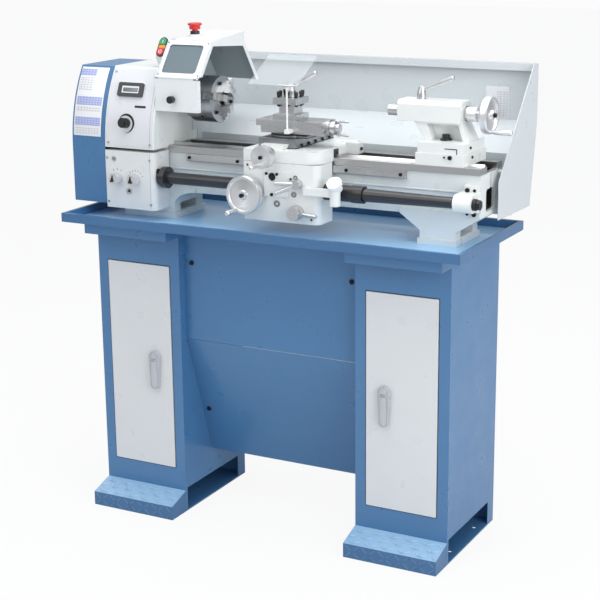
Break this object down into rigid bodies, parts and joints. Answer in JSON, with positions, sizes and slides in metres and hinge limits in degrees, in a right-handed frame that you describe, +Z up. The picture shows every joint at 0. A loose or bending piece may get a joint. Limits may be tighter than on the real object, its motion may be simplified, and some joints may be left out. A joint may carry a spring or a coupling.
{
  "type": "bench lathe on a cabinet stand",
  "caption": "Metal-turning bench lathe on a blue two-cabinet stand with chip tray, hinged chuck guard, four-way toolpost, tailstock and splash guard.",
  "frame": {"origin": "on the floor, at the centre of the four anchor holes", "axes": "+X along the bed from the headstock to the tailstock, +Y to the back, +Z up"},
  "size_m": [1.258, 0.538, 1.386],
  "materials": {
    "blue_paint": "satin",
    "pale_paint": "satin",
    "white_paint": "semi-gloss",
    "cast_white": "painted, semi-gloss",
    "cast_grey": "machined",
    "steel": "machined",
    "chrome": "polished",
    "aluminium": "turned",
    "black_plastic": "fine grain",
    "grey_plastic": "fine grain",
    "red_plastic": "smooth",
    "green_plastic": "smooth",
    "clear_sheet": "clear, scratched lightly",
    "rubber": "matte"
  },
  "bodies": {
    "stand": {"left_cabinet": "blue_paint", "right_cabinet": "blue_paint", "foot_steps": "blue_paint", "front_panel": "blue_paint", "chip_tray": "blue_paint", "door_hinge_pins": "steel", "bed": "cast_white", "feed_rack": "steel", "splash_guard": "white_paint", "headstock": "cast_white", "control_panel": "white_paint", "gearbox": "cast_white", "cover_hinge": "steel", "spindle_bearings": "steel", "gear_quadrant": "steel", "drive_belt": "rubber", "motor": "cast_grey", "chuck_guard": "white_paint", "guard_window": "clear_sheet", "switch_box": "white_paint", "screw_covers": "black_plastic"},
    "left_door": {"left_door": "pale_paint"},
    "right_door": {"right_door": "pale_paint"},
    "left_latch": {"left_latch": "grey_plastic"},
    "right_latch": {"right_latch": "grey_plastic"},
    "gear_cover": {"gear_cover": "blue_paint"},
    "spindle": {"spindle": "steel", "chuck_body": "cast_grey"},
    "jaw_1": {"jaw_1": "steel"},
    "jaw_2": {"jaw_2": "steel"},
    "jaw_3": {"jaw_3": "steel"},
    "idler": {"idler_gear": "steel"},
    "leadscrew": {"leadscrew": "steel"},
    "motor_shaft": {"motor_pulley": "steel"},
    "speed_knob": {"speed_knob": "black_plastic"},
    "left_selector": {"left_selector": "aluminium"},
    "right_selector": {"right_selector": "aluminium"},
    "guard_flap": {"guard_flap": "white_paint"},
    "emergency_stop": {"emergency_stop": "red_plastic"},
    "start_button": {"start_button": "green_plastic"},
    "stop_button": {"stop_button": "red_plastic"},
    "carriage": {"saddle": "cast_white", "apron": "cast_white", "cover_sleeve": "black_plastic"},
    "apron_wheel": {"apron_wheel": "aluminium"},
    "half_nut_lever": {"half_nut_lever": "chrome"},
    "feed_knob": {"feed_knob": "chrome"},
    "thread_dial": {"thread_dial": "aluminium"},
    "cross_wheel": {"cross_wheel": "aluminium"},
    "cross_slide": {"cross_slide": "cast_grey"},
    "swivel": {"swivel_base": "cast_grey"},
    "top_slide": {"top_slide": "steel"},
    "top_crank": {"top_crank": "chrome"},
    "toolpost": {"toolpost": "steel"},
    "toolpost_lever": {"toolpost_lever": "chrome"},
    "chip_shield": {"chip_shield": "clear_sheet"},
    "tailstock": {"tailstock": "cast_white"},
    "quill": {"quill": "steel"},
    "tail_wheel": {"tail_wheel": "aluminium"},
    "quill_lever": {"quill_lever": "chrome"}
  },
  "joints": [
    {"name": "left_door_swing", "type": "hinge", "parent": "stand", "child": "left_door", "pos_m": [-0.501, -0.167, 0.428], "axis": [0, 0, -1], "range_deg": [0, 110]},
    {"name": "right_door_swing", "type": "hinge", "parent": "stand", "child": "right_door", "pos_m": [0.501, -0.167, 0.428], "axis": [0, 0, 1], "range_deg": [0, 110]},
    {"name": "left_latch_turn", "type": "hinge", "parent": "left_door", "child": "left_latch", "pos_m": [-0.359, -0.171, 0.457], "axis": [0, 1, 0], "range_deg": [0, 90]},
    {"name": "right_latch_turn", "type": "hinge", "parent": "right_door", "child": "right_latch", "pos_m": [0.359, -0.171, 0.457], "axis": [0, -1, 0], "range_deg": [0, 90]},
    {"name": "gear_cover_swing", "type": "hinge", "parent": "stand", "child": "gear_cover", "pos_m": [-0.503, 0.1595, 1], "axis": [0, 0, -1], "range_deg": [0, 100]},
    {"name": "spindle_spin", "type": "hinge", "parent": "stand", "child": "spindle", "pos_m": [-0.4, -0.018, 1.18], "axis": [1, 0, 0], "continuous": true},
    {"name": "idler_spin", "type": "hinge", "parent": "stand", "child": "idler", "pos_m": [-0.522, -0.03827, 1.04653], "axis": [1, 0, 0], "continuous": true},
    {"name": "leadscrew_spin", "type": "hinge", "parent": "stand", "child": "leadscrew", "pos_m": [0, -0.138, 0.972], "axis": [1, 0, 0], "continuous": true},
    {"name": "motor_spin", "type": "hinge", "parent": "stand", "child": "motor_shaft", "pos_m": [-0.5, 0.112, 0.985], "axis": [1, 0, 0], "continuous": true},
    {"name": "jaw_1_slide", "type": "slide", "parent": "spindle", "child": "jaw_1", "axis": [0, -0.9659, 0.2588], "range_m": [-0.01, 0.01]},
    {"name": "jaw_2_slide", "type": "slide", "parent": "spindle", "child": "jaw_2", "axis": [0, 0.2588, -0.9659], "range_m": [-0.0101, 0.0101]},
    {"name": "jaw_3_slide", "type": "slide", "parent": "spindle", "child": "jaw_3", "axis": [0, 0.7071, 0.7071], "range_m": [-0.0101, 0.0101]},
    {"name": "speed_knob_turn", "type": "hinge", "parent": "stand", "child": "speed_knob", "pos_m": [-0.434, -0.16197, 1.11935], "axis": [0, 0.985, -0.1725], "range_deg": [0, 270]},
    {"name": "left_selector_turn", "type": "hinge", "parent": "stand", "child": "left_selector", "pos_m": [-0.466, -0.168, 0.965], "axis": [0, 1, 0], "range_deg": [-60, 60]},
    {"name": "right_selector_turn", "type": "hinge", "parent": "stand", "child": "right_selector", "pos_m": [-0.406, -0.168, 0.965], "axis": [0, 1, 0], "range_deg": [-60, 60]},
    {"name": "guard_flap_swing", "type": "hinge", "parent": "stand", "child": "guard_flap", "pos_m": [-0.274, -0.15, 1.25], "axis": [-1, 0, 0], "range_deg": [0, 100]},
    {"name": "emergency_stop_press", "type": "slide", "parent": "stand", "child": "emergency_stop", "axis": [0, 0, -1], "range_m": [0, 0.004], "stiffness_N_per_m": 900},
    {"name": "start_button_press", "type": "slide", "parent": "stand", "child": "start_button", "axis": [0, 0.8423, -0.5391], "range_m": [0, 0.003], "stiffness_N_per_m": 500},
    {"name": "stop_button_press", "type": "slide", "parent": "stand", "child": "stop_button", "axis": [0, 0.8423, -0.5391], "range_m": [0, 0.003], "stiffness_N_per_m": 500},
    {"name": "carriage_travel", "type": "slide", "parent": "stand", "child": "carriage", "axis": [1, 0, 0], "range_m": [-0.08, 0.08]},
    {"name": "apron_wheel_turn", "type": "hinge", "parent": "carriage", "child": "apron_wheel", "pos_m": [-0.038, -0.202, 0.958], "axis": [0, 1, 0], "range_deg": [-965, 965]},
    {"name": "thread_dial_turn", "type": "hinge", "parent": "carriage", "child": "thread_dial", "pos_m": [0.222, -0.184, 1], "axis": [0, -0.6428, 0.766], "range_deg": [-605, 605]},
    {"name": "half_nut_turn", "type": "hinge", "parent": "carriage", "child": "half_nut_lever", "pos_m": [0.112, -0.19, 0.994], "axis": [0, 1, 0], "range_deg": [0, 25]},
    {"name": "feed_knob_turn", "type": "hinge", "parent": "carriage", "child": "feed_knob", "pos_m": [0.108, -0.19, 0.918], "axis": [0, 1, 0], "range_deg": [-45, 45]},
    {"name": "cross_wheel_turn", "type": "hinge", "parent": "carriage", "child": "cross_wheel", "pos_m": [0.03, -0.22, 1.066], "axis": [0, 1, 0], "range_deg": [-2270, 2270]},
    {"name": "cross_travel", "type": "slide", "parent": "carriage", "child": "cross_slide", "axis": [0, 1, 0], "range_m": [-0.025, 0.025]},
    {"name": "swivel_turn", "type": "hinge", "parent": "cross_slide", "child": "swivel", "pos_m": [0.038, -0.078, 1.108], "axis": [0, 0, 1], "range_deg": [-45, 45]},
    {"name": "top_travel", "type": "slide", "parent": "swivel", "child": "top_slide", "axis": [-1, 0, 0], "range_m": [-0.03, 0.025]},
    {"name": "top_crank_turn", "type": "hinge", "parent": "top_slide", "child": "top_crank", "pos_m": [0.17, -0.078, 1.131], "axis": [-1, 0, 0], "range_deg": [-3615, 3015]},
    {"name": "toolpost_turn", "type": "hinge", "parent": "top_slide", "child": "toolpost", "pos_m": [0.038, -0.078, 1.18], "axis": [0, 0, 1], "continuous": true},
    {"name": "toolpost_lever_turn", "type": "hinge", "parent": "top_slide", "child": "toolpost_lever", "pos_m": [0.038, -0.078, 1.22], "axis": [0, 0, 1], "range_deg": [0, 45]},
    {"name": "chip_shield_tilt", "type": "hinge", "parent": "top_slide", "child": "chip_shield", "pos_m": [0.058, -0.136, 1.242], "axis": [1, 0, 0], "range_deg": [0, 60]},
    {"name": "tailstock_travel", "type": "slide", "parent": "stand", "child": "tailstock", "axis": [1, 0, 0], "range_m": [-0.04, 0.03]},
    {"name": "tail_wheel_turn", "type": "hinge", "parent": "tailstock", "child": "tail_wheel", "pos_m": [0.55, -0.018, 1.18], "axis": [-1, 0, 0], "range_deg": [-1800, 4800]},
    {"name": "quill_travel", "type": "slide", "parent": "tailstock", "child": "quill", "axis": [-1, 0, 0], "range_m": [-0.0151, 0.0401]},
    {"name": "quill_lever_turn", "type": "hinge", "parent": "tailstock", "child": "quill_lever", "pos_m": [0.389, -0.018, 1.22], "axis": [0, 0, 1], "range_deg": [-30, 30]}
  ],
  "couplings": [
    {"joint": "idler_spin", "follows": "spindle_spin", "ratio": -0.28571},
    {"joint": "leadscrew_spin", "follows": "spindle_spin", "ratio": 1.5385},
    {"joint": "motor_spin", "follows": "spindle_spin", "ratio": 1.875},
    {"joint": "jaw_2_slide", "follows": "jaw_1_slide", "ratio": 1},
    {"joint": "jaw_3_slide", "follows": "jaw_1_slide", "ratio": 1},
    {"joint": "apron_wheel_turn", "follows": "carriage_travel", "rad_per_m": 209.44},
    {"joint": "thread_dial_turn", "follows": "carriage_travel", "rad_per_m": 131},
    {"joint": "cross_wheel_turn", "follows": "cross_travel", "rad_per_m": 1570.8},
    {"joint": "top_crank_turn", "follows": "top_travel", "rad_per_m": 2094.4},
    {"joint": "quill_travel", "follows": "tail_wheel_turn", "m_per_rad": 0.00047746}
  ]
}
